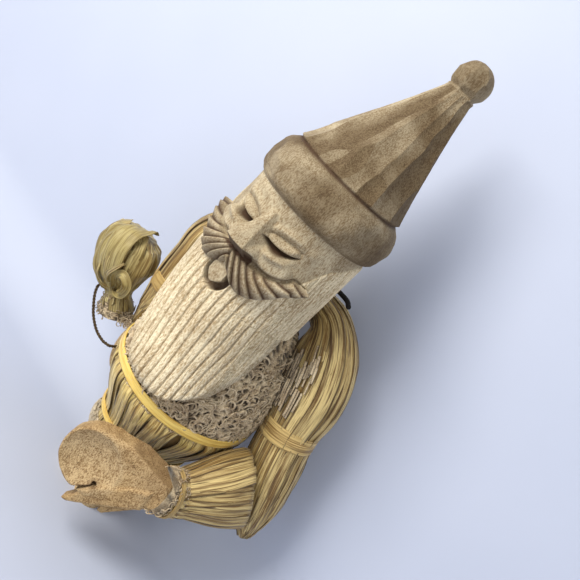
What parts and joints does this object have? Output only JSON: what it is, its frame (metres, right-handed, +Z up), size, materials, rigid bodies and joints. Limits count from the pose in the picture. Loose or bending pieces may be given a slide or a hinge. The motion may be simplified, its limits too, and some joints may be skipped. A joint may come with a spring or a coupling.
{
  "type": "gnome figurine",
  "caption": "Standing folk-art gnome with a carved wooden head and mittens, husk clothes and a small sack hung on twine.",
  "frame": {"origin": "on the ground under the axis of the body, between the boots", "axes": "+Z up, -Y the way the body faces, +X towards the figure's left hand"},
  "size_m": [0.1992, 0.119, 0.3398],
  "materials": {
    "carved_wood": "dry, unvarnished, knife-cut",
    "peg_wood": "dry, planed",
    "core_wood": "dry, rough",
    "husk": "dry fibrous leaf, ribbed, slightly glossy",
    "husk_strap": "glossy dry leaf",
    "sack_husk": "dry folded leaf, ribbed",
    "fibre": "crinkled plant fibre, matt",
    "pale_fibre": "loose bleached plant fibre, matt",
    "filling": "loose shavings",
    "dark_cord": "tarred cord, matt",
    "twine": "twisted twine, matt",
    "wire": "annealed wire, dull"
  },
  "bodies": {
    "figure": {"carved_head": "carved_wood", "neck_peg": "peg_wood", "torso_core": "core_wood", "vest_fibre": "fibre", "belt_strip": "husk_strap", "skirt_husk": "husk", "hem_band": "husk_strap", "hem_trim": "pale_fibre", "leg_peg_left": "peg_wood", "leg_peg_right": "peg_wood", "boot_left": "carved_wood", "boot_right": "carved_wood", "arm_wire": "wire", "arm_husk_left": "husk", "arm_band_left": "husk_strap", "forearm_husk_left": "husk", "wrist_band_left": "husk_strap", "cuff_fibre_left": "fibre", "mitten_left": "carved_wood", "arm_husk_right": "husk", "arm_band_right": "husk_strap", "cuff_fibre_right": "fibre", "mitten_right": "carved_wood", "neck_binding": "dark_cord"},
    "cord": {"cord": "twine"},
    "sack": {"sack_husk": "sack_husk", "sack_filling": "filling", "sack_tie": "husk_strap", "sack_mouth_fibre": "fibre"}
  },
  "joints": [
    {"name": "cord_swing", "type": "hinge", "parent": "figure", "child": "cord", "pos_m": [-0.05, -0.004, 0.071], "axis": [0, 1, 0], "range_deg": [-70, 0]},
    {"name": "sack_swing", "type": "hinge", "parent": "cord", "child": "sack", "pos_m": [-0.087, -0.0075, 0.0895], "axis": [0, 1, 0], "range_deg": [-85, 0]}
  ]
}
